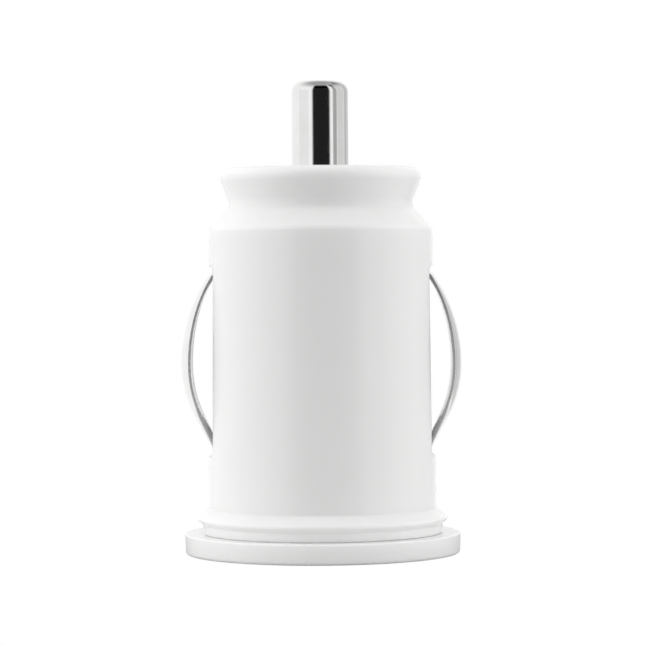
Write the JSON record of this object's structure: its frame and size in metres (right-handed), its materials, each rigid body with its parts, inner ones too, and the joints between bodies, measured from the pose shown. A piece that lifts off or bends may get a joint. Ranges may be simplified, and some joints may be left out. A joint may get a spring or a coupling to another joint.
{
  "type": "car usb charger plug",
  "caption": "Short round plug for a car's 12 V socket, with a sprung centre pin, bowed side contacts and a USB charging port in its flat foot.",
  "frame": {"origin": "centre of the end cap's outer face, on which the plug stands", "axes": "+Z along the plug towards its centre contact, +X and -X towards the sprung side contacts"},
  "size_m": [0.0254, 0.025, 0.0428],
  "materials": {
    "white_plastic": "glossy white",
    "nickel_plate": "bright plated",
    "spring_wire": "drawn wire",
    "brass_sheet": "satin",
    "nickel_strip": "bright plated strip",
    "board_laminate": "green solder mask",
    "port_steel": "nickel plated sheet",
    "port_plastic": "white insulator",
    "contact_gold": "flash plated",
    "black_epoxy": "moulded epoxy",
    "tinned_metal": "tinned",
    "ferrite": "sintered",
    "copper_wire": "enamelled",
    "capacitor_sleeve": "dark blue sleeve",
    "black_rubber": "matt",
    "amber_epoxy": "moulded epoxy",
    "fuse_green": "laminate",
    "led_lens": "tinted clear",
    "ceramic_tan": "ceramic"
  },
  "bodies": {
    "plug": {"housing": "white_plastic", "end_cap": "white_plastic", "tip_spring": "spring_wire", "spring_seat": "brass_sheet", "circuit_board": "board_laminate", "usb_shell": "port_steel", "usb_insulator": "port_plastic", "usb_contact_1": "contact_gold", "usb_contact_2": "contact_gold", "usb_contact_3": "contact_gold", "usb_contact_4": "contact_gold", "converter_chip": "black_epoxy", "converter_chip_leads": "tinned_metal", "inductor_core": "ferrite", "inductor_winding": "copper_wire", "input_capacitor": "capacitor_sleeve", "input_capacitor_bung": "black_rubber", "input_capacitor_leads": "tinned_metal", "output_capacitor": "amber_epoxy", "rectifier_diode": "black_epoxy", "rectifier_diode_tabs": "tinned_metal", "input_fuse": "fuse_green", "indicator_led": "led_lens", "indicator_led_leads": "tinned_metal", "chip_resistor_1": "black_epoxy", "chip_resistor_2": "black_epoxy", "chip_resistor_3": "black_epoxy", "chip_resistor_4": "black_epoxy", "timing_capacitor": "ceramic_tan"},
    "centre_contact": {"tip_pin": "nickel_plate"},
    "left_spring": {"left_contact": "nickel_strip"},
    "right_spring": {"right_contact": "nickel_strip"}
  },
  "joints": [
    {"name": "tip_plunge", "type": "slide", "parent": "plug", "child": "centre_contact", "axis": [0, 0, -1], "range_m": [0, 0.0028], "stiffness_N_per_m": 1200, "springref_m": -0.002, "deforming": ["tip_spring"]},
    {"name": "left_contact_press", "type": "slide", "parent": "plug", "child": "left_spring", "axis": [1, 0, 0], "range_m": [0, 0.00225], "stiffness_N_per_m": 1500, "springref_m": -0.0004},
    {"name": "right_contact_press", "type": "slide", "parent": "plug", "child": "right_spring", "axis": [-1, 0, 0], "range_m": [0, 0.00225], "stiffness_N_per_m": 1500, "springref_m": -0.0004}
  ]
}
